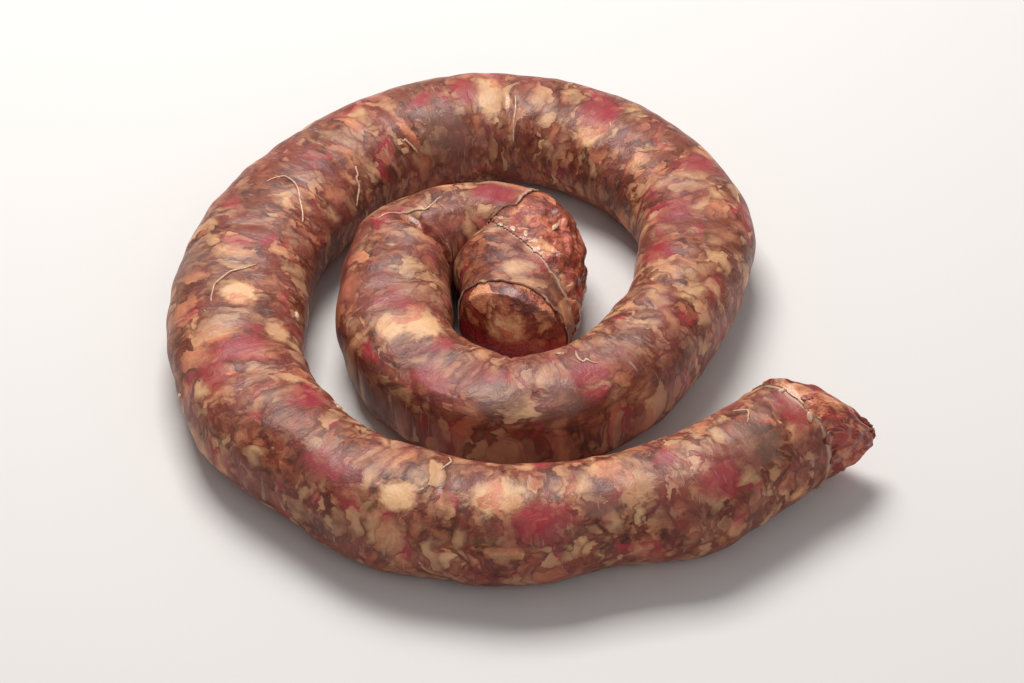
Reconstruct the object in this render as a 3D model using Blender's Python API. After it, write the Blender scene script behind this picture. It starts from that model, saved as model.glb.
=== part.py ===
"""A length of coarse fresh sausage, laid down in a coil: natural casing over a meat filling.

The sausage is one piece about 0.76 m long.  Its outer end is a tail whose casing has been cut off, so
that the filling sticks out.  It winds inward, clockwise, by a turn and a third, and its inner end is
folded over twice into a hook.  The casing has split on the outside of the hook's last fold, and the
sausage ends there in a plain cut.

Frame: metres, +Z up, the origin under the middle of the bounding box, on the surface it lies on.
+X points towards the tail's side and +Y to the back of the coil.
"""

import math

import bmesh
import bpy
from mathutils import Vector

MM = 0.001

# The coil's centreline about its own centre: (radius, half width of the sausage) in mm at each twelfth
# of a turn, clockwise, from the tail's casing rim, which lies a sixth of a turn before the front.
COIL_START = -60.0
COIL_STEP = 30.0
COIL = (
    (114.5, 16.4),
    (108.0, 17.3),
    (107.0, 18.2),
    (101.0, 19.0),
    (91.5, 20.3),
    (82.5, 21.5),
    (78.5, 21.4),
    (81.5, 19.8),
    (82.5, 19.4),
    (77.0, 19.2),
    (69.0, 18.7),
    (58.0, 17.3),
    (54.5, 16.6),
    (58.0, 16.6),
    (58.5, 17.6),
    (46.5, 19.3),
    (38.5, 18.6),
)
TAIL_FROM = 16.0 * MM  # the casing was cut this far along that line

# The hook, from the coil's end to the cut: (x, y, half width) in mm about the coil's centre.
HOOK = (
    (-34.5, -5.5, 17.4),
    (-33.5, 6.5, 17.3),
    (-28.0, 17.5, 17.0),
    (-18.5, 23.5, 15.6),
    (-5.5, 25.5, 16.8),
    (4.0, 22.0, 17.5),
    (7.5, 12.0, 17.3),
    (7.0, 0.5, 17.3),
    (5.0, -11.0, 17.8),
    (1.5, -22.0, 18.4),
)

# The section: the sausage sags under its own weight, so it is wider than tall.  Its girth hardly
# changes, so where it spreads wider it also lies lower.
MEAN_HALF_WIDTH = 18.3 * MM
MEAN_HALF_HEIGHT = 16.0 * MM
HEIGHT_PER_WIDTH = -0.3
SECTION_POWER = 2.25  # 2 is an ellipse; a little more squares the shoulders
SETTLE = 1.0 * MM  # how much of the round underside is pressed flat
OWN_ROOM = 0.92  # a section takes at most this share of the room up to the next stretch of sausage

# The casing, and the clearance that keeps the two solids apart.
CASING_WALL = 0.9 * MM
CLEARANCE = 0.5 * MM

# The ends of the filling, and the split in the casing over the second fold.
TAIL_STUMP = 13.0 * MM
STUMP_LEAN = 10.0 * MM  # towards the outside of the coil
STUMP_TAPER = 0.45
STUMP_RINGS = (0.95, 0.55, 0.2)  # shares of the stump's length that carry a section, from its tip
END_BULGE = 1.5 * MM
SPLIT_FROM = 55.0 * MM  # both measured back from the cut
SPLIT_TO = 18.0 * MM
SPLIT_SIDES = (-40.0, 100.0)  # round the section, from the outside (0) to the top (90)

# Mesh fineness.
SIDES = 18
RING_STEP = 12.0 * MM
FOLD_STEP = 4.0 * MM
FOLDED_LENGTH = 105.0 * MM
PATH_STEP = 1.0 * MM
POINTS_PER_SPAN = 60

CASING_LOOK = {"colour": (0.40, 0.21, 0.16, 1.0), "roughness": 0.38}
FILLING_LOOK = {"colour": (0.42, 0.12, 0.07, 1.0), "roughness": 0.45}


def clear_scene():
    for thing in list(bpy.data.objects):
        bpy.data.objects.remove(thing, do_unlink=True)


def route():
    """The points that the sausage passes: plan position and half width, as one vector each."""
    points = []
    for i, (radius, half_width) in enumerate(COIL):
        angle = math.radians(-90.0 - (COIL_START + i * COIL_STEP))
        points.append(Vector((radius * math.cos(angle), radius * math.sin(angle), half_width)) * MM)
    return points + [Vector(point) * MM for point in HOOK]


def through(points):
    """A smooth curve through the points (Catmull-Rom), then spaced evenly in plan."""
    first, last = 2 * points[0] - points[1], 2 * points[-1] - points[-2]
    guided = [first] + points + [last]
    curve = []
    for a, b, c, d in zip(guided, guided[1:], guided[2:], guided[3:]):
        for k in range(POINTS_PER_SPAN):
            t = k / POINTS_PER_SPAN
            curve.append(
                b + 0.5 * t * ((c - a) + t * ((2 * a - 5 * b + 4 * c - d) + t * (3 * b - 3 * c + d - a)))
            )
    return evenly(curve + [points[-1]], PATH_STEP)


def evenly(points, step):
    """The same line with its points a step apart in plan."""
    result, left = [points[0]], step
    for a, b in zip(points, points[1:]):
        run = (b - a).to_2d().length
        while run > 0 and left <= run:
            a = a.lerp(b, left / run)
            run -= left
            left = step
            result.append(a)
        left -= run
    return result


def heading(line, i, reach=2):
    ahead = line[min(len(line) - 1, i + reach)] - line[max(0, i - reach)]
    return ahead.to_2d().normalized()


def room(line, i, direction):
    """How far a section reaches sideways before it is as near to another stretch of the line."""
    nearest = math.inf
    for j in range(0, len(line), 2):
        apart = (line[j] - line[i]).to_2d()
        towards = apart.dot(direction)
        if abs(j - i) > 3 and towards > 0:
            nearest = min(nearest, apart.length_squared / (2.0 * towards))
    return OWN_ROOM * nearest


def ring(line, i, inset=0.0, sideways=0.0, scale=1.0):
    """One section of the sausage as 3-D points, inset from its skin; side 0 faces out of the bend."""
    ahead = heading(line, i)
    outward = Vector((-ahead.y, ahead.x))
    width = line[i].z
    height = MEAN_HALF_HEIGHT + HEIGHT_PER_WIDTH * (width - MEAN_HALF_WIDTH)
    outer_width = min(width, room(line, i, outward))
    inner_width = min(width, room(line, i, -outward))
    section = []
    for side in range(SIDES):
        angle = 2.0 * math.pi * (side + 0.5) / SIDES
        c, s = math.cos(angle), math.sin(angle)
        reach = (outer_width if c > 0 else inner_width) - inset
        across = math.copysign(abs(c) ** (2.0 / SECTION_POWER), c) * reach * scale + sideways
        up = math.copysign(abs(s) ** (2.0 / SECTION_POWER), s) * (height - inset) * scale
        place = line[i].to_2d() + outward * across
        section.append(Vector((place.x, place.y, max(height - SETTLE + up, inset))))
    return section


def ring_places(line):
    """Which points of the line carry a section: close together where it is folded, wider elsewhere."""
    places, i = [0], 0
    folded = len(line) - round(FOLDED_LENGTH / PATH_STEP)
    while i < len(line) - 1:
        step = FOLD_STEP if i > folded else RING_STEP
        i = min(len(line) - 1, i + round(step / PATH_STEP))
        places.append(i)
    if places[-1] - places[-2] < 3:
        del places[-2]
    return places


def skin_quads(verts, missing):
    """The quads of a tube between neighbouring rings, without the missing ones."""
    for i in range(len(verts) - 1):
        for side in range(SIDES):
            if not missing(i, side):
                nxt = (side + 1) % SIDES
                yield verts[i][side], verts[i][nxt], verts[i + 1][nxt], verts[i + 1][side]


def material(name, look):
    made = bpy.data.materials.new(name)
    made.use_nodes = True
    shader = made.node_tree.nodes["Principled BSDF"]
    shader.inputs["Base Color"].default_value = look["colour"]
    shader.inputs["Roughness"].default_value = look["roughness"]
    shader.inputs["Metallic"].default_value = 0.0
    return made


def add_object(name, bm, look):
    bmesh.ops.recalc_face_normals(bm, faces=bm.faces)
    mesh = bpy.data.meshes.new(name)
    bm.to_mesh(mesh)
    bm.free()
    mesh.shade_smooth()
    mesh.materials.append(material(name, look))
    thing = bpy.data.objects.new(name, mesh)
    bpy.context.scene.collection.objects.link(thing)
    return thing


def build_casing(line, places):
    """The casing: a thin open tube with a window where it has split over the second fold."""

    def split(i, side):
        to_cut = len(line) - 0.5 * (places[i] + places[i + 1])
        angle = (360.0 * (side + 1.0) / SIDES + 180.0) % 360.0 - 180.0
        along = SPLIT_TO / PATH_STEP < to_cut < SPLIT_FROM / PATH_STEP
        return along and SPLIT_SIDES[0] < angle < SPLIT_SIDES[1]

    bm = bmesh.new()
    outer = [[bm.verts.new(p) for p in ring(line, i)] for i in places]
    inner = [[bm.verts.new(p) for p in ring(line, i, CASING_WALL)] for i in places]
    twin = {a: b for outers, inners in zip(outer, inner) for a, b in zip(outers, inners)}
    skin = [bm.faces.new(quad) for quad in skin_quads(outer, split)]
    rims = [edge for edge in {e for face in skin for e in face.edges} if len(edge.link_faces) == 1]
    for face in skin:
        bm.faces.new([twin[v] for v in reversed(face.verts)])
    for a, b in sorted((edge.verts for edge in rims), key=lambda ends: tuple(ends[0].co)):
        bm.faces.new((a, b, twin[b], twin[a]))
    loose = [v for v in bm.verts if not v.link_faces]
    bmesh.ops.delete(bm, geom=loose, context="VERTS")
    return add_object("casing", bm, CASING_LOOK)


def build_filling(line, places):
    """The filling: it runs the whole length and shows at the stump, the split and the cut."""
    inset = CASING_WALL + CLEARANCE
    backward = -heading(line, 0)
    outward = Vector((backward.y, -backward.x))
    stump = []
    for share in STUMP_RINGS:
        slim = 1.0 - STUMP_TAPER * share**2
        step = (backward * TAIL_STUMP * share).to_3d()
        grown = ring(line, 0, inset, sideways=STUMP_LEAN * share**2, scale=slim)
        stump.append([p + step for p in grown])
    tip = (line[0].to_2d() + backward * (TAIL_STUMP + END_BULGE) + outward * STUMP_LEAN).to_3d()
    cut = (line[-1].to_2d() + heading(line, len(line) - 1) * END_BULGE).to_3d()
    tip.z = cut.z = MEAN_HALF_HEIGHT - SETTLE

    bm = bmesh.new()
    rings = stump + [ring(line, i, inset) for i in places]
    verts = [[bm.verts.new(p) for p in points] for points in rings]
    for quad in skin_quads(verts, lambda i, side: False):
        bm.faces.new(quad)
    for middle, loop in ((tip, verts[0]), (cut, verts[-1])):
        point = bm.verts.new(middle)
        for side in range(SIDES):
            bm.faces.new((loop[side], loop[(side + 1) % SIDES], point))
    return add_object("filling", bm, FILLING_LOOK)


def centre_on_origin(things):
    """Moves the whole sausage so that the origin is under the middle of its bounding box."""
    corners = [v.co.copy() for thing in things for v in thing.data.vertices]
    low = Vector(min(c[axis] for c in corners) for axis in range(3))
    high = Vector(max(c[axis] for c in corners) for axis in range(3))
    middle = Vector((0.5 * (low.x + high.x), 0.5 * (low.y + high.y), low.z))
    for thing in things:
        for v in thing.data.vertices:
            v.co -= middle
    return middle


clear_scene()
sausage_line = through(route())[round(TAIL_FROM / PATH_STEP) :]
stations = ring_places(sausage_line)
parts = [build_casing(sausage_line, stations), build_filling(sausage_line, stations)]
shift = centre_on_origin(parts)
print("length of the casing:", round((len(sausage_line) - 1) * PATH_STEP, 4), "m, rings:", len(stations))
print("the coil's centre lies at", tuple(round(-x, 5) for x in shift))
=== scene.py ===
# %% [markdown]
# # A coiled fresh sausage
#
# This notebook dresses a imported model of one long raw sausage, laid down in a coil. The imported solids
# are right in size and place, but plain. Each step below makes one piece or one finish and says why it
# is made that way.
#
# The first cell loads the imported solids. Everything is in metres, with +Z up and the sausage lying on
# z = 0, so nothing has to be fitted afterwards.

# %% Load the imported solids
import itertools
import math

import bmesh
import bpy
import numpy as np
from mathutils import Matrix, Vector


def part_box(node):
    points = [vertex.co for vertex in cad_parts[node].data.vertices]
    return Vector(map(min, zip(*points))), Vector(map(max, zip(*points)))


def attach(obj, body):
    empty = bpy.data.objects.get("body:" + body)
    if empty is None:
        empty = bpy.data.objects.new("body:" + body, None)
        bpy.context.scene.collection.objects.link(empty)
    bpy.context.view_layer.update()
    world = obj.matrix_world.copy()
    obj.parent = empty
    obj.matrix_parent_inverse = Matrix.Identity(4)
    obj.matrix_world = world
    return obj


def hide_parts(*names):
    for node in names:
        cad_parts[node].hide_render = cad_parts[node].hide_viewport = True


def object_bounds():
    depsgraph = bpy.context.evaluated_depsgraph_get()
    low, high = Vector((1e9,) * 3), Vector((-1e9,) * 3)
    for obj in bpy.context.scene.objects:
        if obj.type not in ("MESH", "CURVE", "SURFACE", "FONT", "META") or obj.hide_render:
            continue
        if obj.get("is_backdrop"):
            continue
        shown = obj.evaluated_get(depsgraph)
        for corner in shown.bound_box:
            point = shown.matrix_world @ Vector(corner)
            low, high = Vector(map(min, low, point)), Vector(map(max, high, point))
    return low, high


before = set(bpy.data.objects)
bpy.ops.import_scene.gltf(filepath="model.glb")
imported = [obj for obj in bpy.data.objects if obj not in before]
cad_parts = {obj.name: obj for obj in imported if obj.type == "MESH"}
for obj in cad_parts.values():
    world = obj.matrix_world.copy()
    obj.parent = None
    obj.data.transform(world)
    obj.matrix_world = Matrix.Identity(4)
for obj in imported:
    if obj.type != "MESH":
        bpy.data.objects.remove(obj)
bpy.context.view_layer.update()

MM = 0.001

# %% [markdown]
# ## The line through the sausage
#
# A sausage is a tube, so its shape is a line in plan plus a section at each place along it. The coil
# was laid by hand and is uneven, so its route is given as a radius and a half width at each twelfth of
# a turn, and the hook at its inner end as a few points. These are the driving sizes of the solids too.
# A Catmull-Rom curve passes through every point and stays smooth between them.

# %% The route
COIL_START, COIL_STEP = -60.0, 30.0  # degrees clockwise from the front
COIL = (
    (114.5, 16.4), (108.0, 17.3), (107.0, 18.2), (101.0, 19.0), (91.5, 20.3), (82.5, 21.5),
    (78.5, 21.4), (81.5, 19.8), (82.5, 19.4), (77.0, 19.2), (69.0, 18.7), (58.0, 17.3),
    (54.5, 16.6), (58.0, 16.6), (58.5, 17.6), (46.5, 19.3), (38.5, 18.6),
)  # (radius, half width) in mm
HOOK = (
    (-34.5, -5.5, 17.4), (-33.5, 6.5, 17.3), (-28.0, 17.5, 17.0), (-18.5, 23.5, 15.6),
    (-5.5, 25.5, 16.8), (4.0, 22.0, 17.5), (7.5, 12.0, 17.3), (7.0, 0.5, 17.3),
    (5.0, -11.0, 17.8), (1.5, -22.0, 18.4),
)  # (x, y, half width) in mm about the coil's centre
TAIL_FROM = 16  # mm of that line before the casing's torn rim


def smooth_line(points, step):
    """A Catmull-Rom curve through the points, resampled at even steps in plan."""
    guided = np.vstack([2 * points[0] - points[1], points, 2 * points[-1] - points[-2]])
    t = np.linspace(0, 1, 60, endpoint=False)[:, None]
    spans = []
    for a, b, c, d in zip(guided, guided[1:], guided[2:], guided[3:]):
        cubic = t * (3 * b - 3 * c + d - a)
        spans.append(b + 0.5 * t * ((c - a) + t * ((2 * a - 5 * b + 4 * c - d) + cubic)))
    curve = np.vstack(spans + [points[-1:]])
    run = np.concatenate([[0], np.cumsum(np.hypot(*np.diff(curve[:, :2], axis=0).T))])
    places = np.arange(0, run[-1], step)
    return np.column_stack([np.interp(places, run, curve[:, k]) for k in range(3)])


angles = np.radians(-90 - (COIL_START + COIL_STEP * np.arange(len(COIL))))
radii, coil_widths = np.array(COIL).T
coil_points = np.column_stack([radii * np.cos(angles), radii * np.sin(angles), coil_widths])
line = smooth_line(np.vstack([coil_points, HOOK]), 1.0)[TAIL_FROM:] * MM
LENGTH = (len(line) - 1) * MM
print("length of the casing, mm:", round(LENGTH / MM))

# %% [markdown]
# ## The section
#
# A soft sausage sags: it is wider than tall, its shoulders are a little square, and its underside is
# pressed flat. Where it is folded, two stretches press against each other. A section may therefore only
# reach as far as the place that is just as near to another stretch of the line. That one rule makes
# both the crease inside a fold and the flat where two turns meet.

# %% Directions and room along the line
MEAN_HALF_WIDTH, MEAN_HALF_HEIGHT = 18.3 * MM, 16.0 * MM
HEIGHT_PER_WIDTH = -0.3  # the girth hardly changes, so a wider section lies lower
SECTION_POWER = 2.25
SETTLE = 1.0 * MM
OWN_ROOM = 0.92

plan = line[:, :2]
ahead = np.gradient(plan, axis=0)
for _ in range(3):  # a light smoothing, so that neighbouring sections fan out evenly
    ahead[1:-1] = (ahead[:-2] + 2 * ahead[1:-1] + ahead[2:]) / 4
ahead /= np.linalg.norm(ahead, axis=1)[:, None]
outward = np.column_stack([-ahead[:, 1], ahead[:, 0]])


def room(direction):
    """For each place of the line, how far it reaches that way before another stretch is as near."""
    apart = plan[None, :, :] - plan[:, None, :]
    towards = np.einsum("ijk,ik->ij", apart, direction)
    near = np.abs(np.subtract.outer(np.arange(len(plan)), np.arange(len(plan)))) <= 3
    reach = (apart**2).sum(2) / np.maximum(2 * towards, 1e-12)
    return OWN_ROOM * np.where(near | (towards <= 0), 1.0, reach).min(1)


outer_room, inner_room = room(outward), room(-outward)
print("tightest fold, mm:", round(inner_room.min() / MM, 1))

# %% [markdown]
# ## A skin that can be asked for any point
#
# Every piece of the sausage lies on or under its skin, so one function gives the skin's point at a
# distance along the line and an angle round the section. Angle 0 faces out of the coil and 90 degrees
# is the top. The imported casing's box then says how far to shift everything.

# %% The skin function
def at(distance, values):
    """A value of the line, read at any distance along it, also a little past its ends."""
    index = np.asarray(distance) / MM
    low = np.clip(np.floor(index).astype(int), 0, len(values) - 2)
    part = (index - low)[..., None] if np.ndim(values) == 2 else index - low
    return values[low] * (1 - part) + values[low + 1] * part


def section(angle, power):
    """The unit section: a superellipse, squarer where the power is higher."""
    c, s = np.cos(angle), np.sin(angle)
    return np.sign(c) * np.abs(c) ** (2 / power), np.sign(s) * np.abs(s) ** (2 / power)


def skin(distance, angle, inset=0.0, power=SECTION_POWER, swell=0.0):
    """Points of the skin, pushed in by inset; swell adds to the section's half width."""
    distance, angle = np.broadcast_arrays(distance, angle)
    inside = np.clip(distance, 0, LENGTH)
    width = at(inside, line[:, 2])
    height = MEAN_HALF_HEIGHT + HEIGHT_PER_WIDTH * (width - MEAN_HALF_WIDTH)
    c, s = section(angle, power)
    limit = np.where(c > 0, at(inside, outer_room), at(inside, inner_room))
    across = c * (np.minimum(width + swell, limit) - inset)
    up = s * (height + 0.5 * swell - inset)
    flat = at(distance, plan) + at(inside, outward) * across[..., None]
    return np.concatenate([flat, (height - SETTLE + up)[..., None]], axis=-1)


def sideways(distance, angle):
    """The direction that points out of the skin, square to the line."""
    distance, angle = np.broadcast_arrays(distance, angle)
    flat = at(np.clip(distance, 0, LENGTH), outward) * np.cos(angle)[..., None]
    return np.concatenate([flat, np.sin(angle)[..., None]], axis=-1)


outline = skin(np.arange(0, LENGTH, MM)[:, None], np.radians(np.arange(0, 360, 10))[None, :])
casing_low, casing_high = (np.array(corner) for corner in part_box("casing"))
shift = (casing_low + casing_high)[:2] / 2 - (outline.min((0, 1)) + outline.max((0, 1)))[:2] / 2
plan = plan + shift
print("the coil's centre, mm:", (shift / MM).round(2))

# %% [markdown]
# ## Unevenness
#
# Meat pushed into a casing by hand makes lumps, waists and puckers. The lumps come from a seeded noise
# in the sausage's own straightened space, so that they run round the tube without a seam and don't
# stretch in the folds.

# %% Noise in the straightened sausage
STRAIGHT_RADIUS = 18 * MM


def straightened(distance, angle, depth=0.0):
    """Where a point of the skin would lie if the sausage were pulled straight."""
    distance, angle = np.broadcast_arrays(distance, angle)
    radius = STRAIGHT_RADIUS - depth
    return np.stack([distance, radius * np.cos(angle), radius * np.sin(angle)], axis=-1)


def noise(points, size, seed):
    """Smooth noise between about -1 and 1, with features of that size."""
    table = np.random.default_rng(seed).uniform(-1.3, 1.3, (32, 32, 32))
    places = points / size + 500
    cell = np.floor(places).astype(int)
    part = places - cell
    part = part * part * (3 - 2 * part)
    total = 0.0
    for corner in itertools.product((0, 1), repeat=3):
        weight = np.prod(np.where(corner, part, 1 - part), axis=-1)
        index = (cell + corner) % 32
        total = total + weight * table[index[..., 0], index[..., 1], index[..., 2]]
    return total


def bump(x, reach):
    return np.exp(-((x / reach) ** 2))


def angle_between(angle, middle):
    """The signed angle from middle to angle, in degrees."""
    return (np.degrees(angle) - middle + 180) % 360 - 180


# %% [markdown]
# ## The casing's shape
#
# Big, slow swells come first, then puckers where the casing is drawn in across the tube, then the lumps
# of the coarse meat under it. The swells along the outside of the coil are given one by one, because the
# front of the coil bulges in three soft waves. At the inner turn's front the sausage is pressed from outside,
# so its shoulder is sharp and its side is steep.

# %% Swells, puckers and lumps of the skin
WAVES = (
    (0.042, 2.4, 0.013), (0.070, -2.4, 0.013), (0.132, 1.5, 0.012), (0.160, -1.8, 0.013),
    (0.188, 1.6, 0.010), (0.212, -0.8, 0.009), (0.272, 1.2, 0.014), (0.312, -1.3, 0.013),
    (0.440, -0.9, 0.014), (0.470, 0.7, 0.012),
)  # (distance, mm outward, reach) on the outer side
PUCKERS = (
    (0.114, 60, 75, 0.9, 0.0022, 6), (0.192, 100, 50, 0.8, 0.0020, -9), (0.379, 100, 60, 1.1, 0.0024, 4),
    (0.366, 130, 40, 0.5, 0.0018, 0), (0.447, 95, 55, 1.0, 0.0024, 5), (0.308, 100, 50, 0.5, 0.0020, -6),
    (0.262, 60, 60, 0.5, 0.0020, 8), (0.514, 120, 60, 0.6, 0.0022, 0), (0.580, 90, 60, 0.5, 0.0020, 5),
    (0.601, 25, 40, 0.8, 0.0022, 12), (0.640, 70, 60, 0.5, 0.0020, 0), (0.028, 70, 60, 0.6, 0.0020, 8),
)  # (distance, middle angle, half angle, depth in mm, reach, slant in mm per radian)
INNER_WAVES = (
    (LENGTH - 32 * MM, 7.0, 0.017), (LENGTH - 118 * MM, 1.5, 0.016),
    (0.120, 0.8, 0.012), (0.235, 0.9, 0.012),
)  # the same on the inner side
FIRST_FOLD = LENGTH - 83 * MM
FOLD_SLANT = -5 * MM
EASE_ABOVE = 32.0 * MM
PRESSED_FROM, PRESSED_TO = 0.535, 0.640


def swell_of(distance, angle):
    """How far the skin stands out of its plain section, in metres."""
    outer = np.clip(np.cos(angle + math.radians(15)), 0, 1)
    inner = np.clip(-np.cos(angle), 0, 1)
    total = sum(mm * bump(distance - at_, reach) for at_, mm, reach in WAVES) * outer
    total = total + sum(mm * bump(distance - at_, reach) for at_, mm, reach in INNER_WAVES) * inner
    for at_, middle, half, depth, reach, slant in PUCKERS:
        off = angle_between(angle, middle)
        fade = np.clip(1 - (off / half) ** 2, 0, 1)
        total = total - depth * fade * bump(distance - at_ - slant * MM * np.radians(off), reach)
    fold_line = distance - FIRST_FOLD + FOLD_SLANT * np.cos(angle)
    total = total - 3.8 * bump(fold_line, 0.0024) * np.clip(0.6 - np.cos(angle), 0, 1)
    total = total + 1.3 * bump(fold_line + 6 * MM, 0.0050) * np.clip(0.3 + np.sin(angle), 0, 1)
    return total * MM


def lumps(distance, angle):
    place = straightened(distance, angle)
    slow = 0.55 * noise(place * (1.0, 1, 1), 0.030, 1)
    chunks = 0.34 * noise(place * (1.3, 1, 1), 0.0080, 2) + 0.15 * noise(place * (1.3, 1, 1), 0.0042, 3)
    return (slow + chunks) * MM


def pressed(distance):
    """1 where the inner turn's front is pressed square, easing to 0 either side."""
    part = (distance - PRESSED_FROM) / (PRESSED_TO - PRESSED_FROM)
    return np.clip(np.sin(np.pi * np.clip(part, 0, 1)) * 1.6, 0, 1)


def settled(points):
    """Keeps points off the floor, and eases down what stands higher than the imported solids."""
    high = points[..., 2] - EASE_ABOVE
    points[..., 2] = np.maximum(points[..., 2] - 0.75 * np.maximum(high, 0), 0.05 * MM)
    return points


def casing_point(distance, angle, extra=0.0):
    distance, angle = np.broadcast_arrays(distance, angle)
    shoulder = pressed(distance) * np.clip(np.cos(angle) + 0.2, 0, 1) * (np.sin(angle) > -0.3)
    points = skin(distance, angle, power=SECTION_POWER + 1.3 * shoulder)
    relief = swell_of(distance, angle) + lumps(distance, angle) + extra
    points = points + sideways(distance, angle) * relief[..., None]
    return settled(points)


# %% [markdown]
# ## Where the casing is torn
#
# The casing ends in a ragged rim at the tail and in a plain cut at the hook, and it has split over the
# outside of the hook's last fold. Each edge is a function that is positive on the casing and negative
# past the tear. Grid points close to an edge are pulled onto it, so the tear is smooth and not stepped
# like the grid, and the faces past it are dropped.

# %% The tears
SPLIT_ANGLES = (-62, -45, -10, 20, 45, 65, 80, 95, 108, 124, 140, 150)
SPLIT_UPPER = (40, 50, 53, 51, 47, 46, 46, 44, 46, 50, 56, 60)  # mm back from the cut
SPLIT_LOWER = (40, 8, 7, 9, 13, 17, 21, 26, 30, 36, 50, 60)


def split_edges(angle):
    """The two edges of the split at an angle, in metres back from the cut."""
    turn = (np.degrees(angle) + 120) % 360 - 120
    return (
        np.interp(turn, SPLIT_ANGLES, SPLIT_UPPER) * MM,
        np.interp(turn, SPLIT_ANGLES, SPLIT_LOWER) * MM,
    )


def casing_left(distance, angle):
    """Metres to the nearest tear, negative where the casing is gone."""
    place = straightened(distance, angle)
    ragged = 0.7 * noise(place, 0.0042, 11) + 0.35 * noise(place, 0.0017, 12)
    tail = distance - 1.5 * MM + ragged * MM
    cut = LENGTH - distance - (2.5 + 2.5 * np.sin(angle)) * MM + 1.4 * ragged * MM
    upper, lower = split_edges(angle)
    back = LENGTH - distance
    split = np.minimum(upper - back, back - lower) + 0.8 * ragged * MM
    return np.minimum(np.minimum(tail, cut), -split)


def snap_to_tear(distance, angle, left, cell):
    """Moves the points just past a tear back onto it, in distance and angle."""
    by_distance, by_angle = np.gradient(left, distance[:, 0], angle[0] * STRAIGHT_RADIUS)
    steep = np.maximum(by_distance**2 + by_angle**2, 0.25)
    near = (left < 0) & (left > -1.1 * cell)
    step = np.where(near, -left / steep, 0)
    return distance + step * by_distance, angle + step * by_angle / STRAIGHT_RADIUS, left > -1.1 * cell


# %% [markdown]
# ## Turning a grid into a mesh
#
# A tube is a grid of points that closes on itself one way. Building it straight from arrays is far
# quicker than adding faces one by one. Each point also stores where it lies in the straightened
# sausage, because the finish is drawn in that space: then the pattern doesn't stretch round the folds,
# and casing and filling carry the same meat.

# %% The mesh builder
def grid_faces(rows, columns):
    row, column = np.meshgrid(np.arange(rows - 1), np.arange(columns), indexing="ij")
    nxt = (column + 1) % columns
    here, following = row * columns, (row + 1) * columns
    corners = (here + column, following + column, following + nxt, here + nxt)
    return np.stack([c.ravel() for c in corners], axis=1)


def add_mesh(name, points, faces, fields):
    """A mesh object; fields are named values per point, one number or three each."""
    used = np.unique(faces)
    renumber = np.zeros(len(points), int)
    renumber[used] = np.arange(len(used))
    mesh = bpy.data.meshes.new(name)
    mesh.from_pydata(points[used].tolist(), [], renumber[faces].tolist())
    for field, values in fields.items():
        kind, key = ("FLOAT_VECTOR", "vector") if values.ndim == 2 else ("FLOAT", "value")
        stored = mesh.attributes.new(field, kind, "POINT")
        stored.data.foreach_set(key, values[used].ravel().astype(np.float32))
    mesh.shade_smooth()
    thing = bpy.data.objects.new(name, mesh)
    bpy.context.scene.collection.objects.link(thing)
    triangles = sum(len(face.vertices) - 2 for face in mesh.polygons)
    print(f"{name}: {len(mesh.vertices)} points, {triangles} triangles")
    return thing


def fold_rim_in(thing, depths):
    """Gives an open edge its thickness: the rim is extruded inward along the normals, twice."""
    bm = bmesh.new()
    bm.from_mesh(thing.data)
    bm.normal_update()
    rim = [edge for edge in bm.edges if edge.is_boundary]
    normals = {vert: vert.normal.copy() for edge in rim for vert in edge.verts}
    for edge in rim:
        edge.smooth = False
    for depth in depths:
        made = bmesh.ops.extrude_edge_only(bm, edges=rim)["geom"]
        partner = {}
        for face in (part for part in made if isinstance(part, bmesh.types.BMFace)):
            for edge in face.edges:
                ends = [vert in normals for vert in edge.verts]
                if ends[0] != ends[1]:
                    old, new = edge.verts if ends[0] else reversed(edge.verts)
                    partner[new] = old
        for new, old in partner.items():
            new.co = old.co - normals[old] * depth
            new.co.z = max(new.co.z, 0.05 * MM)
        normals = {new: normals[old] for new, old in partner.items()}
        edges = (part for part in made if isinstance(part, bmesh.types.BMEdge))
        rim = [edge for edge in edges if all(vert in normals for vert in edge.verts)]
    bm.to_mesh(thing.data)
    bm.free()


# %% [markdown]
# ## The casing
#
# The grid is about a millimetre fine, which is enough for every lump and pucker; what is finer is left
# to the finish. Its torn edges curl up a little.

# %% [markdown]
# A few blotches of fat, of red and of grey are placed one by one, because they are what the eye
# finds first on the coil. Each is stored on the mesh as a soft spot, and the finish roughens its edge.

# %% Blotches placed one by one
FAT_MARKS = (
    (620, 100, 8, 6), (623, 75, 5, 4), (214, 128, 6, 4), (215, 77, 5, 5), (232, 95, 6, 4), (373, 98, 5, 8),
    (414, 118, 5, 6), (60, 75, 5, 6), (67, 100, 6, 4), (99, 78, 8, 6), (126, 62, 5, 5), (705, 60, 6, 3),
)  # (distance, angle, reach along, reach round), mm and degrees
RED_MARKS = (
    (175, 115, 6, 7), (206, 86, 5, 8), (88, 51, 8, 8), (412, 92, 6, 7), (365, 90, 4, 6), (474, 114, 6, 6),
    (496, 124, 5, 7), (451, 72, 6, 6), (5, 75, 5, 8), (38, 49, 6, 6), (200, 59, 7, 5), (702, 85, 7, 6),
    (600, 60, 6, 4), (560, 75, 6, 4), (150, 70, 7, 4),
)
GREY_MARKS = (
    (354, 140, 9, 10), (72, 64, 6, 5), (570, 51, 6, 9), (584, 63, 7, 7), (22, 68, 8, 9), (250, 40, 9, 8),
)


def marked(distance, angle):
    """How strongly each place is marked as fat, as red and as grey."""
    kinds = []
    for marks in (FAT_MARKS, RED_MARKS, GREY_MARKS):
        strength = 0 * distance * angle
        for place, middle, along, around in marks:
            off_along = (distance / MM - place) / along
            off_around = np.radians(angle_between(angle, middle)) * STRAIGHT_RADIUS / MM / around
            strength = np.maximum(strength, bump(np.hypot(off_along, off_around), 1.0))
        kinds.append(strength)
    return np.stack(kinds, axis=-1)


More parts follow.
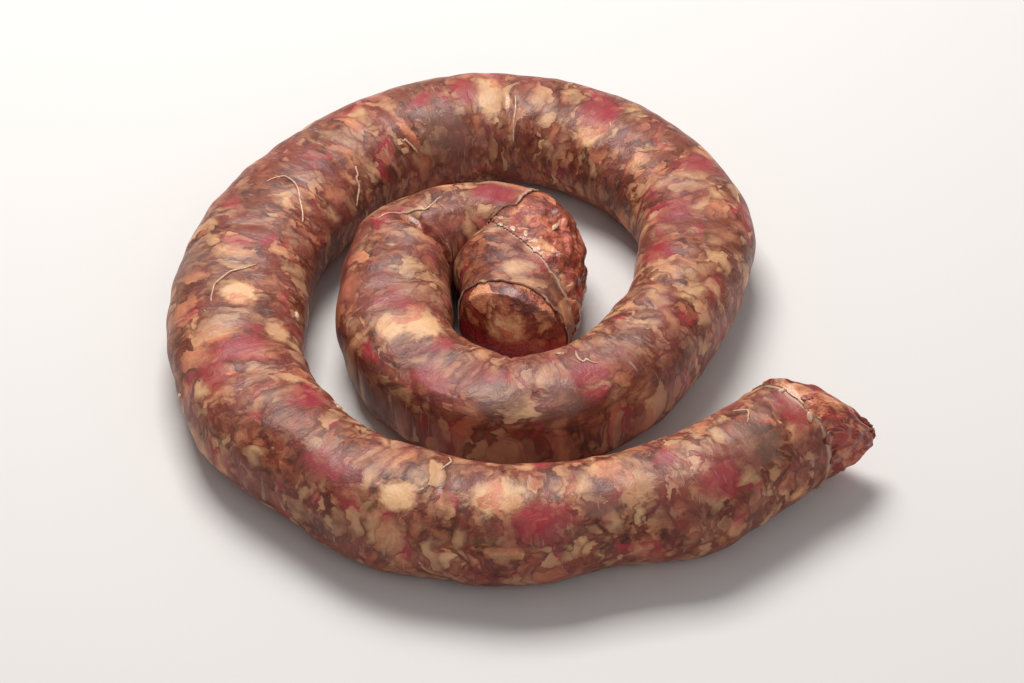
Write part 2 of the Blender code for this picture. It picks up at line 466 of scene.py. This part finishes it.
# %% [markdown]
# Now the grid goes through the shape function, loses what is torn away, and gets its edge.

# %% Make the casing
ALONG, AROUND = 1.0 * MM, 108
EDGE_CURL = 0.12 * MM
EDGE_REACH = 2.2 * MM

casing_distance, casing_angle = np.meshgrid(
    np.arange(0, LENGTH + ALONG / 2, ALONG), np.radians(np.arange(AROUND) * 360 / AROUND), indexing="ij"
)
left = casing_left(casing_distance, casing_angle)
casing_distance, casing_angle, kept = snap_to_tear(casing_distance, casing_angle, left, ALONG)
left = np.maximum(left, 0)
curl = EDGE_CURL * np.clip(1 - left / EDGE_REACH, 0, 1) ** 2
curl = curl * (1 + 0.8 * noise(straightened(casing_distance, casing_angle), 0.004, 13))
casing_points = casing_point(casing_distance, casing_angle, curl)
faces = grid_faces(*casing_distance.shape)
faces = faces[kept.ravel()[faces].all(axis=1)]
casing = add_mesh(
    "casing_skin",
    casing_points.reshape(-1, 3),
    faces,
    {
        "straight": straightened(casing_distance, casing_angle).reshape(-1, 3),
        "marks": marked(casing_distance, casing_angle).reshape(-1, 3),
        "tear": left.ravel() / MM,
    },
)
fold_rim_in(casing, (0.15 * MM, 0.35 * MM))
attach(casing, "root")
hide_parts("casing")


# %% [markdown]
# ## The filling
#
# The filling is one closed piece that runs through the whole casing. It only shows at the torn tail, in
# the split and at the cut, so its grid is fine there and coarse in between. Outside the casing it is
# rough minced meat: the stump leans out of the coil and narrows, and under the split the meat bulges
# up to where the skin was.

# %% The filling's shape
FILL_INSET = 0.22 * MM
STUMP = 17 * MM
STUMP_LEAN = 13 * MM
CUT_BULGE = 5.0 * MM
FINE_TAIL, FINE_END = 12 * MM, 66 * MM
FILL_AROUND = 132
CAP_ROUGHNESS = 0.55
TAIL_REDNESS = 0.30


def meat_relief(place, seed):
    """Rough minced meat, in mm: crumbs, and the stringy pieces between them."""
    crumbs = noise(place, 0.0052, seed) + 0.55 * noise(place, 0.0024, seed + 1)
    strings = np.abs(noise(place * (0.6, 1, 1), 0.0033, seed + 2))
    return 0.9 * crumbs + 0.9 * strings + 0.22 * noise(place, 0.0011, seed + 3)


def stump_point(share, angle):
    """The stump: share 0 is at the casing's rim and 1 at the tip."""
    share, angle = np.broadcast_arrays(share, angle)
    round_off = np.sqrt(np.clip(1 - (share * 0.97) ** 3.0, 0.02, 1))
    start = skin(0.0 * share, angle, inset=FILL_INSET)
    middle = np.array([*plan[0], MEAN_HALF_HEIGHT - SETTLE])
    side = np.array([*outward[0], 0.0])
    run = np.array([*-ahead[0], 0.0])
    slim = (1 - 0.42 * share**1.5) * round_off
    moved = middle + (start - middle) * slim[..., None]
    return moved + run * (STUMP * share)[..., None] + side * (STUMP_LEAN * share**1.6)[..., None]


def filling_point(distance, angle):
    distance, angle = np.broadcast_arrays(distance, angle)
    place = straightened(distance, angle)
    upper, lower = split_edges(angle)
    back = LENGTH - distance
    split_depth = np.minimum(upper - back, back - lower)
    shown = np.clip(split_depth / (3 * MM), 0, 1)
    inside = casing_point(np.clip(distance, 0, LENGTH), angle, -FILL_INSET)
    bulge = shown * (0.9 + meat_relief(place, 21)) * MM
    points = inside + sideways(distance, angle) * bulge[..., None]
    ragged = stump_point(np.clip(-distance / STUMP, 0, 1), angle)
    tail_rough = meat_relief(place, 31) * np.clip((3 * MM - distance) / (5 * MM), 0, 1) * MM
    tail_rough = tail_rough * np.where(distance > 0, 0.3, 1)
    ragged = np.where((distance < 0)[..., None], ragged, points)
    return settled(ragged + sideways(distance, angle) * tail_rough[..., None])


def cap_ring(loop, middle, share, place, direction, bulge_out):
    """A ring of an end face, between its rim (share 1) and its middle (share 0)."""
    rough = CAP_ROUGHNESS * meat_relief(place, 41) * MM * (1 - share**6)
    return middle + (loop - middle) * share + direction * (bulge_out * (1 - share**2) + rough)[:, None]


def closed_tube(rings, ends):
    """Points and triangles of a tube of rings with a point at each end."""
    rows, columns = rings.shape[:2]
    side = np.arange(columns)
    last = (rows - 1) * columns + side
    quads = grid_faces(rows, columns)
    first_fan = np.column_stack([np.full(columns, rows * columns), side, (side + 1) % columns])
    last_fan = np.column_stack([np.full(columns, rows * columns + 1), np.roll(last, -1), last])
    triangles = np.vstack([quads[:, (0, 1, 2)], quads[:, (0, 2, 3)], first_fan, last_fan])
    return np.vstack([rings.reshape(-1, 3), *ends]), triangles


# %% [markdown]
# The end faces are rings that shrink to a point and bulge a little. A few marks are set on the meat: a
# lump of fat in the middle of the cut, painted shade as dark red low on the cut face where the inner coil
# shades it, and a redder tail.

# %% Make the filling
coarse = np.arange(FINE_TAIL, LENGTH - FINE_END, 3 * MM)
fill_rows = np.concatenate([
    np.linspace(-STUMP, 0, 26)[:-1], np.arange(0, FINE_TAIL, 0.8 * MM), coarse,
    np.arange(coarse[-1] + 0.8 * MM, LENGTH - 0.2 * MM, 0.7 * MM), [LENGTH],
])
fill_angle = np.radians(np.arange(FILL_AROUND) * 360 / FILL_AROUND)
fill_grid = filling_point(fill_rows[:, None], fill_angle[None, :])
fill_place = straightened(fill_rows[:, None], fill_angle[None, :])

tip_dir = np.array([*(-ahead[0] + 0.7 * outward[0]), 0.0]) / 1.22
cut_dir = np.array([*ahead[-1], 0.0])
caps = {}
for name, row, direction, bulge_out in (("tip", 0, tip_dir, 2.5 * MM), ("cut", -1, cut_dir, CUT_BULGE)):
    loop = fill_grid[row]
    middle = loop.mean(0)
    rings, places = [], []
    for share in np.linspace(1, 0.04, 22)[1:]:
        place = np.column_stack([np.full(FILL_AROUND, fill_rows[row]), *(fill_place[row][:, 1:] * share).T])
        rings.append(cap_ring(loop, middle, share, place, direction, bulge_out))
        places.append(place)
    caps[name] = (np.array(rings), np.array(places))

fill_points = np.concatenate([caps["tip"][0][::-1], fill_grid, caps["cut"][0]])
fill_straight = np.concatenate([caps["tip"][1][::-1], fill_place, caps["cut"][1]])
points, faces = closed_tube(fill_points, (fill_points[0].mean(0), fill_points[-1].mean(0)))
places = np.vstack([fill_straight.reshape(-1, 3), fill_straight[0].mean(0), fill_straight[-1].mean(0)])
points = settled(points)
near_cut = bump(np.linalg.norm(points - fill_points[-1].mean(0) - np.array([0, 0, 5 * MM]), axis=1), 6 * MM)
# painted shade: the foot of the cut face is marked dark red by height, standing in for the inner coil's shade
painted_shade_cut_foot = np.clip((20 * MM - points[:, 2]) / (8 * MM), 0, 1) * (places[:, 0] > LENGTH - 4 * MM)
at_tail = TAIL_REDNESS * (places[:, 0] < 1 * MM)
fill_marks = np.column_stack([near_cut, np.maximum(painted_shade_cut_foot, at_tail), 0 * near_cut])
filling = add_mesh("minced_filling", points, faces, {"straight": places, "marks": fill_marks})
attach(filling, "root")
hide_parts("filling")


# %% [markdown]
# ## Threads, fat and scraps
#
# Fine threads of connective tissue lie on the casing, and small lumps of fat and scraps of meat cling
# to its torn edges. The threads are thin tapered tubes that follow the skin; each is given by a few
# places on the skin, a curve is run through them, and its ends sink into the surface.

# %% Make the threads
THREADS = (
    ((286, 79), (291, 86), (290, 97), (284, 109), (275, 127)),
    ((311, 126), (308, 135), (306, 143), (300, 161)),
    ((382, 98), (383, 113), (383, 129), (384, 155)), ((335, 126), (338, 136), (340, 148)),
    ((173, 145), (168, 144), (164, 142)), ((668, 66), (674, 76), (675, 84), (679, 95), (686, 88)),
    ((228, 74), (236, 77), (243, 90), (247, 104)), ((118, 100), (116, 112), (118, 124)),
    ((20, 88), (16, 100), (19, 116)), ((556, 82), (560, 92), (559, 104)),
)  # (distance in mm, angle)
THREAD_RADIUS = 0.36 * MM
THREAD_STEPS, THREAD_SIDES = 36, 8


def thread(points, wander_seed):
    corners = np.array([(d * MM, math.radians(a)) for d, a in points])
    t = np.linspace(0, len(corners) - 1, THREAD_STEPS)
    smooth = [np.interp(t, range(len(corners)), corners[:, k]) for k in (0, 1)]
    kernel = np.array([1, 2, 3, 2, 1]) / 9
    smooth = [np.convolve(np.pad(row, 2, mode="edge"), kernel, "valid") for row in smooth]
    share = np.linspace(0, 1, THREAD_STEPS)
    rng = np.random.default_rng(wander_seed)
    smooth[1] = smooth[1] + 0.02 * np.interp(share, np.linspace(0, 1, 9), rng.normal(0, 1, 9))
    thick = THREAD_RADIUS * (0.35 + 0.65 * np.sin(np.pi * np.clip(share * 0.96 + 0.02, 0, 1)) ** 0.5)
    middle = casing_point(smooth[0], smooth[1], thick * 0.55)
    run = np.gradient(middle, axis=0)
    run /= np.linalg.norm(run, axis=1)[:, None]
    up = sideways(smooth[0], smooth[1])
    across = np.cross(run, up)
    across /= np.linalg.norm(across, axis=1)[:, None]
    up = np.cross(across, run)
    turn = np.radians(np.arange(THREAD_SIDES) * 360 / THREAD_SIDES)[None, :, None]
    round_it = np.cos(turn) * across[:, None] + np.sin(turn) * up[:, None]
    rings = middle[:, None] + thick[:, None, None] * round_it
    ends = middle[0] - run[0] * thick[0], middle[-1] + run[-1] * thick[-1]
    return rings, ends


def gather(pieces):
    """Several closed shapes as one set of points and triangles."""
    points, faces, count = [], [], 0
    for some_points, some_faces in pieces:
        points.append(some_points)
        faces.append(some_faces + count)
        count += len(some_points)
    return np.vstack(points), np.vstack(faces)


points, faces = gather([closed_tube(*thread(path, 60 + i)) for i, path in enumerate(THREADS)])
threads = add_mesh("tissue_threads", points, faces, {"straight": points})


# %% [markdown]
# Each lump and scrap is a small uneven ball, half sunk in the surface, turned its own way.

# %% Make the lumps of fat and the scraps of meat
END = LENGTH / MM
FAT_LUMPS = (
    (228, 154, 1.6, 1.0), (666, 167, 1.4, 0.9), (168, 143, 1.2, 0.8), (564, 109, 1.3, 0.8),
    (205, 5, 1.1, 0.8), (END - 33, 118, 1.6, 1.1), (END - 31, 104, 1.3, 1.0), (END - 29, 92, 1.5, 0.9),
    (END - 34, 62, 3.0, 0.8), (END - 36, 54, 2.2, 0.7), (END - 40, 44, 2.0, 0.9),
    (END - 20, 20, 2.6, 1.1), (END - 16, 8, 3.2, 1.0), (3, 60, 1.6, 0.9), (2, 100, 1.2, 0.8),
)  # (distance, angle, half length, half width), mm and degrees
SCRAPS = (
    (END - 27, 12, 3.2, 1.9), (END - 24, 2, 2.4, 1.5), (END - 12, 4, 2.6, 1.4), (END - 9, -6, 2.8, 1.5),
    (1, 30, 2.2, 1.6), (0, 5, 2.4, 1.5), (-1, 78, 2.0, 1.4),
)
LUMP_ROWS, LUMP_SIDES = 11, 16


def lump(distance, angle, long, wide, seed):
    """An uneven pebble that is half sunk in the skin."""
    slant = np.random.default_rng(seed).uniform(-0.9, 0.9)
    tilt = np.linspace(0, np.pi, LUMP_ROWS + 2)[1:-1, None]
    turn = np.radians(np.arange(LUMP_SIDES) * 360 / LUMP_SIDES)[None, :]
    axes = np.cos(tilt) + 0 * turn, np.sin(tilt) * np.cos(turn), np.sin(tilt) * np.sin(turn)
    ball = np.concatenate([np.stack(axes, axis=-1).reshape(-1, 3), [(1, 0, 0), (-1, 0, 0)]])
    uneven = 1 + 0.22 * noise(ball + seed * 7.0, 0.8, seed) + 0.12 * noise(ball, 0.35, seed + 1)
    ball = ball * uneven[:, None]
    place = casing_point(distance * MM, math.radians(angle))
    up = sideways(distance * MM, math.radians(angle))
    run = np.array([*at(np.clip(distance * MM, 0, LENGTH), ahead), 0.0])
    run = math.cos(slant) * run + math.sin(slant) * np.cross(up, run)
    axes = np.stack([run * long, np.cross(up, run) * wide, up * wide * 0.75]) * MM
    points = place + ball @ axes
    points = settled(points)
    rings = points[:-2].reshape(LUMP_ROWS, LUMP_SIDES, 3)
    return closed_tube(rings, points[-2:])


points, faces = gather([lump(*place, 80 + i) for i, place in enumerate(FAT_LUMPS)])
fat_lumps = add_mesh("fat_lumps", points, faces, {"straight": points})
points, faces = gather([lump(*place, 120 + i) for i, place in enumerate(SCRAPS)])
meat_scraps = add_mesh("meat_scraps", points, faces, {"straight": points})
for piece, piece_slot in ((threads, "casing"), (fat_lumps, "filling"), (meat_scraps, "filling")):
    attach(piece, "root")


# %% [markdown]
# ## The finish: marbled meat
#
# Coarse mince is pieces of lean and of fat pressed together. Cells with soft, warped edges give the
# pieces, and a value per cell says which kind each is. The pattern is drawn in the straightened
# sausage and drawn out round the tube, the way meat smears as it is pushed into a casing. Casing and
# filling share the group, so the same piece of fat shows in both.

# %% Helpers for shader node groups
def new_group(name, inputs, outputs):
    """A node group; inputs are (name, kind, default) and outputs (name, kind)."""
    tree = bpy.data.node_groups.new(name, "ShaderNodeTree")
    for label, kind, default in inputs:
        socket = tree.interface.new_socket(label, in_out="INPUT", socket_type="NodeSocket" + kind)
        socket.default_value = default
    for label, kind in outputs:
        tree.interface.new_socket(label, in_out="OUTPUT", socket_type="NodeSocket" + kind)
    return tree, add_node(tree, "NodeGroupInput"), add_node(tree, "NodeGroupOutput")


def add_node(tree, kind, settings=None, **links):
    """A node with its settings; links name an input, with a value or a socket for it."""
    made = tree.nodes.new(kind)
    for key, value in (settings or {}).items():
        setattr(made, key, value)
    for key, value in links.items():
        plug(tree, made, key.replace("_", " "), value)
    return made


def plug(tree, target, key, value):
    socket = target.inputs[int(key[1:])] if key[0] == "n" and key[1:].isdigit() else target.inputs[key]
    if isinstance(value, bpy.types.NodeSocket):
        tree.links.new(value, socket)
    else:
        socket.default_value = value


def maths(tree, operation, a, b=0.0, c=0.0):
    return add_node(tree, "ShaderNodeMath", {"operation": operation}, n0=a, n1=b, n2=c).outputs[0]


def times_plus(tree, a, b, c):
    return maths(tree, "MULTIPLY_ADD", a, b, c)


def mix(tree, factor, a, b):
    made = add_node(tree, "ShaderNodeMix", {"data_type": "RGBA"})
    for index, value in ((0, factor), (6, a), (7, b)):
        plug(tree, made, f"n{index}", value)
    return made.outputs[2]


def ramp_range(tree, value, low, high):
    """0 below low and 1 above high, eased between."""
    smooth = {"interpolation_type": "SMOOTHSTEP"}
    return add_node(tree, "ShaderNodeMapRange", smooth, Value=value, From_Min=low, From_Max=high).outputs[0]


def rescaled(tree, value, low, high):
    """A value of 0 to 1, moved to the range from low to high."""
    return add_node(tree, "ShaderNodeMapRange", Value=value, To_Min=low, To_Max=high).outputs[0]


def noise_node(tree, place, scale, detail=2.0, roughness=0.5, distortion=0.0):
    made = add_node(tree, "ShaderNodeTexNoise", Vector=place, Scale=scale, Detail=detail)
    plug(tree, made, "Roughness", roughness)
    plug(tree, made, "Distortion", distortion)
    return made


def grain_of(tree, place, scale, detail=2.0, roughness=0.5, distortion=0.0):
    return noise_node(tree, place, scale, detail, roughness, distortion).outputs["Fac"]


def stretched(tree, place, factors):
    multiply = {"operation": "MULTIPLY"}
    return add_node(tree, "ShaderNodeVectorMath", multiply, n0=place, n1=factors).outputs[0]


# %% [markdown]
# The group warps the straightened space, sets pieces of fat of two sizes in it, and gives the lean
# between them its own patches. Its Redness input is for meat that no casing covers.

# %% The marbled meat group
FAT, FAT_WARM = (0.80, 0.47, 0.24, 1), (0.66, 0.215, 0.105, 1)
TAN, LEAN, DARK_LEAN = (0.35, 0.110, 0.048, 1), (0.25, 0.046, 0.020, 1), (0.060, 0.010, 0.006, 1)
MAGENTA = (0.37, 0.018, 0.040, 1)
GREY_PATCH = (0.20, 0.125, 0.095, 1)
REDDER = (1.35, 0.80, 0.62)
WARP = 0.013


def chunks(tree, place, scale, low, radius, soft):
    """Separate pieces of fat: a round cell of random size about each point, out of shape by the warp."""
    cells = add_node(tree, "ShaderNodeTexVoronoi", {"feature": "SMOOTH_F1"}, Scale=scale, Smoothness=0.16,
                     Vector=stretched(tree, place, (1.45, 0.85, 0.85)))
    kind = add_node(tree, "ShaderNodeSeparateColor", Color=cells.outputs["Color"])
    size = add_node(tree, "ShaderNodeMapRange", Value=kind.outputs[0], From_Min=low, To_Max=radius)
    inside = maths(tree, "SUBTRACT", size.outputs[0], cells.outputs["Distance"])
    return ramp_range(tree, inside, -soft, soft), kind


def mark(number):
    """A placed blotch, its edge made irregular."""
    return ramp_range(meat, maths(meat, "ADD", edge_noise, marks.outputs[number]), 0.62, 1.15)


meat, gin, gout = new_group(
    "marbled meat",
    [("Place", "Vector", (0, 0, 0)), ("Marks", "Vector", (0, 0, 0)), ("Redness", "Float", 0.0),
     ("Fat share", "Float", 0.5), ("Magenta share", "Float", 1.0)],
    [("Colour", "Color"), ("Height", "Float")],
)
place = gin.outputs["Place"]
warp = noise_node(meat, place, 120.0, 3.0, 0.55)
shifted = add_node(meat, "ShaderNodeVectorMath", {"operation": "MULTIPLY_ADD"}, n0=warp.outputs["Color"],
                   n1=(WARP, WARP, WARP), n2=place).outputs[0]
marks = add_node(meat, "ShaderNodeSeparateXYZ", Vector=gin.outputs["Marks"])
edge_noise = grain_of(meat, place, 330.0, 3.0, 0.6)
red_mark = mark(1)

# Where the fat is: big and small pieces, and the marks.
low = maths(meat, "SUBTRACT", 0.85, gin.outputs["Fat share"])
big, big_kind = chunks(meat, shifted, 125.0, low, 0.66, 0.34)
small, small_kind = chunks(meat, shifted, 260.0, low, 0.80, 0.45)
small = maths(meat, "MULTIPLY", small, ramp_range(meat, grain_of(meat, place, 45.0, 2.0), 0.30, 0.55))
big_fat = maths(meat, "MULTIPLY", big, times_plus(meat, big_kind.outputs[1], 0.30, 0.70))
small_fat = maths(meat, "MULTIPLY", small, times_plus(meat, small_kind.outputs[2], 0.45, 0.50))
fat_mask = maths(meat, "MAXIMUM", maths(meat, "MAXIMUM", big_fat, small_fat), mark(0))

# The lean: dark to brown-red, with tan and magenta patches.
fibre = grain_of(meat, stretched(meat, shifted, (2.2, 0.7, 0.7)), 380.0, 4.0, 0.65)
tone = grain_of(meat, shifted, 175.0, 3.0, 0.6)
shade = times_plus(meat, fibre, 0.5, maths(meat, "MULTIPLY", tone, 0.5))
lean_colour = mix(meat, ramp_range(meat, shade, 0.38, 0.62), DARK_LEAN, LEAN)
tan_patches = ramp_range(meat, grain_of(meat, shifted, 260.0, 3.0, 0.6), 0.50, 0.68)
lean_colour = mix(meat, maths(meat, "MULTIPLY", tan_patches, 0.85), lean_colour, TAN)
red_spots = maths(meat, "MULTIPLY", ramp_range(meat, grain_of(meat, shifted, 88.0), 0.585, 0.66), 0.85)
red_spots = maths(meat, "MULTIPLY", red_spots, gin.outputs["Magenta share"])
red_spots = maths(meat, "MAXIMUM", red_spots, maths(meat, "MULTIPLY", red_mark, 0.78))
lean_colour = mix(meat, red_spots, lean_colour, MAGENTA)

# Fat over lean, then the grey patches, then the redder meat where no casing covers it.
fat_mask = maths(meat, "MULTIPLY", fat_mask, times_plus(meat, red_mark, -0.75, 1.0))
fat_tone = times_plus(meat, fibre, 0.6, maths(meat, "MULTIPLY", big_kind.outputs[2], 0.4))
fat_colour = mix(meat, ramp_range(meat, fat_tone, 0.28, 0.62), FAT_WARM, FAT)
colour = mix(meat, fat_mask, lean_colour, fat_colour)
colour = mix(meat, maths(meat, "MULTIPLY", mark(2), 0.55), colour, GREY_PATCH)
lean_only = maths(meat, "MULTIPLY", gin.outputs["Redness"], times_plus(meat, fat_mask, -0.75, 1.0))
plug(meat, gout, "Colour", mix(meat, lean_only, colour, stretched(meat, colour, REDDER)))
relief = times_plus(meat, fat_mask, 0.45, maths(meat, "MULTIPLY", tone, 0.5))
plug(meat, gout, "Height", times_plus(meat, fibre, 0.5, relief))
print("marbled meat group:", len(meat.nodes), "nodes")

# %% [markdown]
# ## The casing's finish
#
# Natural casing is thin and moist. Most of what shows is the meat under it, greyed and mauve where the
# casing is thicker or stands off the meat. Fine pale hairlines run across it where it is puckered. It
# has a satin sheen with tighter wet glints, which is what the coat does.

# %% The casing over the meat
MAUVE, RIM_COLOUR = (0.27, 0.056, 0.055, 1), (0.60, 0.40, 0.30, 1)
VEIL, PALE_LINE = (0.23, 0.090, 0.062, 1), (0.50, 0.36, 0.29, 1)
TISSUE_WARM, TISSUE = (0.52, 0.27, 0.16, 1), (0.74, 0.50, 0.35, 1)


def start_material(name):
    made = bpy.data.materials.new(name)
    made.use_nodes = True
    tree = made.node_tree
    place = add_node(tree, "ShaderNodeAttribute", {"attribute_name": "straight"}).outputs["Vector"]
    return made, tree, tree.nodes["Principled BSDF"], place


def meat_under(tree, place, **values):
    """The marbled meat, with the blotches that the mesh carries."""
    blotches = add_node(tree, "ShaderNodeAttribute", {"attribute_name": "marks"}).outputs["Vector"]
    return add_node(tree, "ShaderNodeGroup", {"node_tree": meat}, Place=place, Marks=blotches, **values)


def add_bump(tree, shader, height, strength, distance):
    bumped = add_node(tree, "ShaderNodeBump", Height=height, Strength=strength, Distance=distance)
    tree.links.new(bumped.outputs["Normal"], shader.inputs["Normal"])
    return bumped.outputs["Normal"]


casing_look, tree, shader, place = start_material("casing over meat")
under = meat_under(tree, place, Redness=0.0, Fat_share=0.54)
cloud = grain_of(tree, place, 75.0, 3.0, 0.6)
veil_amount = times_plus(tree, ramp_range(tree, cloud, 0.36, 0.66), 0.34, 0.04)
skin_colour = mix(tree, veil_amount, under.outputs["Colour"], VEIL)
blush = grain_of(tree, stretched(tree, place, (1.0, 0.8, 0.8)), 62.0, 2.0, 0.5, 0.4)
blush = maths(tree, "MULTIPLY", ramp_range(tree, blush, 0.46, 0.62), 0.33)
skin_colour = mix(tree, blush, skin_colour, MAUVE)
hairs = grain_of(tree, stretched(tree, place, (1.0, 0.16, 0.16)), 900.0, 3.0, 0.6, 0.6)
hairline = maths(tree, "MULTIPLY", ramp_range(tree, hairs, 0.60, 0.70), ramp_range(tree, cloud, 0.45, 0.62))
skin_colour = mix(tree, maths(tree, "MULTIPLY", hairline, 0.50), skin_colour, PALE_LINE)
torn = add_node(tree, "ShaderNodeAttribute", {"attribute_name": "tear"}).outputs["Fac"]
rim = maths(tree, "SUBTRACT", 1.0, ramp_range(tree, torn, 0.3, 1.3))
plug(tree, shader, "Base Color", mix(tree, maths(tree, "MULTIPLY", rim, 0.80), skin_colour, RIM_COLOUR))
wet = grain_of(tree, place, 260.0, 3.0, 0.6)
plug(tree, shader, "Roughness", rescaled(tree, wet, 0.38, 0.56))
plug(tree, shader, "Coat Weight", rescaled(tree, cloud, 0.03, 0.24))
shader.inputs["Coat Roughness"].default_value = 0.26
shader.inputs["Specular IOR Level"].default_value = 0.22
relief = times_plus(tree, hairs, 0.30, times_plus(tree, wet, 0.5, under.outputs["Height"]))
normal = add_bump(tree, shader, relief, 0.55, 0.0006)
tree.links.new(normal, shader.inputs["Coat Normal"])
casing.data.materials.append(casing_look)
print("material:", casing_look.name)

# %% [markdown]
# The bare meat is the same marbling, redder and wetter, with coarser relief. The threads and the lumps
# of fat share one pale, slightly glossy finish.

# %% Bare meat and pale tissue
filling_look, tree, shader, place = start_material("raw minced filling")
under = meat_under(tree, place, Redness=0.8, Fat_share=0.42, Magenta_share=0.25)
grain = grain_of(tree, place, 520.0, 3.0, 0.65)
plug(tree, shader, "Base Color", under.outputs["Colour"])
plug(tree, shader, "Roughness", rescaled(tree, grain, 0.30, 0.58))
shader.inputs["Coat Weight"].default_value = 0.35
shader.inputs["Coat Roughness"].default_value = 0.2
add_bump(tree, shader, maths(tree, "ADD", grain, under.outputs["Height"]), 0.8, 0.0010)

tissue_look, tree, shader, place = start_material("pale tissue and fat")
patch = grain_of(tree, place, 700.0, 3.0, 0.6)
tissue_colour = mix(tree, ramp_range(tree, patch, 0.35, 0.65), TISSUE_WARM, TISSUE)
plug(tree, shader, "Base Color", tissue_colour)
plug(tree, shader, "Roughness", rescaled(tree, patch, 0.30, 0.52))
shader.inputs["Coat Weight"].default_value = 0.25
add_bump(tree, shader, patch, 0.5, 0.0004)

for piece, look in (
    (filling, filling_look), (threads, tissue_look), (fat_lumps, tissue_look), (meat_scraps, filling_look),
):
    piece.data.materials.append(look)
    print(f"{piece.name}: {look.name}")


# %% [markdown]
# ## Floor and light
#
# The floor is plain and pale. One large soft light hangs above and slightly behind, so the near sides
# of the rolls fall into shade, and a pale surround fills the shadows.

# %% Floor and light
FLOOR_COLOUR, SURROUND = (0.72, 0.69, 0.67, 1), (0.86, 0.87, 0.89, 1)

floor_mesh = bpy.data.meshes.new("floor")
floor_mesh.from_pydata([(x, y, 0) for x, y in ((-3, -2), (3, -2), (3, 4), (-3, 4))], [], [(0, 1, 2, 3)])
floor = bpy.data.objects.new("floor", floor_mesh)
bpy.context.scene.collection.objects.link(floor)
floor_look = bpy.data.materials.new("pale floor")
floor_look.use_nodes = True
floor_look.node_tree.nodes["Principled BSDF"].inputs["Base Color"].default_value = FLOOR_COLOUR
floor_look.node_tree.nodes["Principled BSDF"].inputs["Roughness"].default_value = 0.7
floor.data.materials.append(floor_look)
floor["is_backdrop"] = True


def area_light(name, place, size, watts, colour=(1, 1, 1)):
    """A soft rectangular light that faces the coil."""
    lamp = bpy.data.lights.new(name, "AREA")
    lamp.shape, lamp.size, lamp.size_y = "RECTANGLE", size[0], size[1]
    lamp.energy, lamp.color = watts, colour
    thing = bpy.data.objects.new(name, lamp)
    bpy.context.scene.collection.objects.link(thing)
    thing.location = place
    thing.rotation_euler = (-Vector(place)).to_track_quat("-Z", "Y").to_euler()


area_light("overhead_window", (-0.15, 0.55, 0.95), (0.6, 0.45), 13.6, (1.0, 0.985, 0.96))
area_light("front_fill", (0.5, -0.9, 0.7), (0.9, 0.9), 2.0)

world = bpy.data.worlds.new("surround")
world.use_nodes = True
world.node_tree.nodes["Background"].inputs["Color"].default_value = SURROUND
world.node_tree.nodes["Background"].inputs["Strength"].default_value = 0.35
bpy.context.scene.world = world
bpy.context.scene.view_settings.view_transform = "Standard"

# %% [markdown]
# The camera aims a little off the coil's centre, so that the tail has room on the right.

# %% Camera
VIEW_ELEVATION, VIEW_DISTANCE = math.radians(41.4), 1.1395
aim = Vector((shift[0] + 2.6 * MM, shift[1] - 8.6 * MM, 0.0))  # a little off the coil's centre

camera = bpy.data.objects.new("camera", bpy.data.cameras.new("camera"))
bpy.context.scene.collection.objects.link(camera)
camera.data.sensor_width, camera.data.lens = 36, 126.67
camera.location = aim + VIEW_DISTANCE * Vector((0, -math.cos(VIEW_ELEVATION), math.sin(VIEW_ELEVATION)))
camera.rotation_euler = (math.pi / 2 - VIEW_ELEVATION, 0, 0)
bpy.context.scene.camera = camera
print("camera:", [round(value, 3) for value in camera.location])

# %% [markdown]
# ## Sizes
#
# The box of everything built is printed, in millimetres.

# %% Sizes and the end
low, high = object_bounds()
print("built box, mm:", [round((b - a) / MM, 1) for a, b in zip(low, high)])
